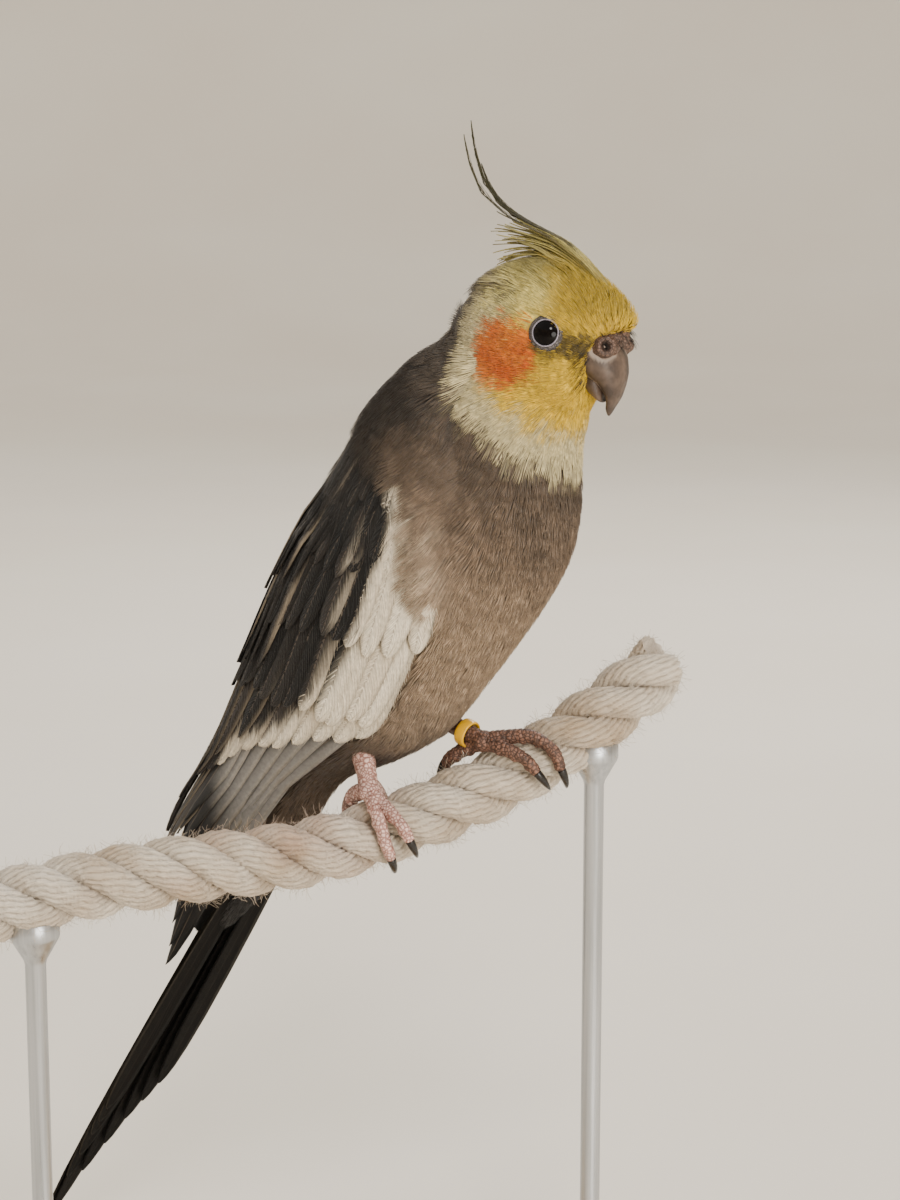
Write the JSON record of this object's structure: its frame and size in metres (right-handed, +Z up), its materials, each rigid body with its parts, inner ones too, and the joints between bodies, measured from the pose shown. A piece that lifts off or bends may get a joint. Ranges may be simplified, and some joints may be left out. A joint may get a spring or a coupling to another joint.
{
  "type": "cockatiel",
  "caption": "Life-size cockatiel with raised crest, perched upright on a cut length of rope that a small stand holds.",
  "frame": {"origin": "middle of the underside of the stand's base", "axes": "+X the way the bird's body faces, +Y to its left, +Z up"},
  "size_m": [0.1978, 0.1936, 0.3281],
  "materials": {
    "head_plumage": "soft yellow, cream and orange feathers",
    "body_plumage": "soft taupe grey feathers",
    "wing_plumage": "dark brown grey vanes with white coverts",
    "tail_plumage": "black brown vanes",
    "bill_horn": "smooth horn, grey mauve",
    "eye_dark": "wet, nearly black",
    "foot_skin": "scaly skin",
    "claw_horn": "smooth dark horn",
    "ring_plastic": "moulded, yellow",
    "perch_cotton": "twisted cotton, fuzzy",
    "stand_steel": "satin",
    "stand_wood": "pale oiled wood"
  },
  "bodies": {
    "root": {"head": "head_plumage", "neck": "body_plumage", "torso": "body_plumage", "tail": "tail_plumage", "bill_upper": "bill_horn", "bill_lower": "bill_horn", "wing_right": "wing_plumage", "eye_right": "eye_dark", "leg_right": "foot_skin", "foot_right": "foot_skin", "claw_right_1": "claw_horn", "claw_right_2": "claw_horn", "claw_right_3": "claw_horn", "claw_right_4": "claw_horn", "wing_left": "wing_plumage", "eye_left": "eye_dark", "leg_left": "foot_skin", "foot_left": "foot_skin", "claw_left_1": "claw_horn", "claw_left_2": "claw_horn", "claw_left_3": "claw_horn", "claw_left_4": "claw_horn", "leg_ring": "ring_plastic", "perch_rope": "perch_cotton", "stand_rod_rear": "stand_steel", "stand_rod_front": "stand_steel", "stand_base": "stand_wood"}
  },
  "joints": []
}
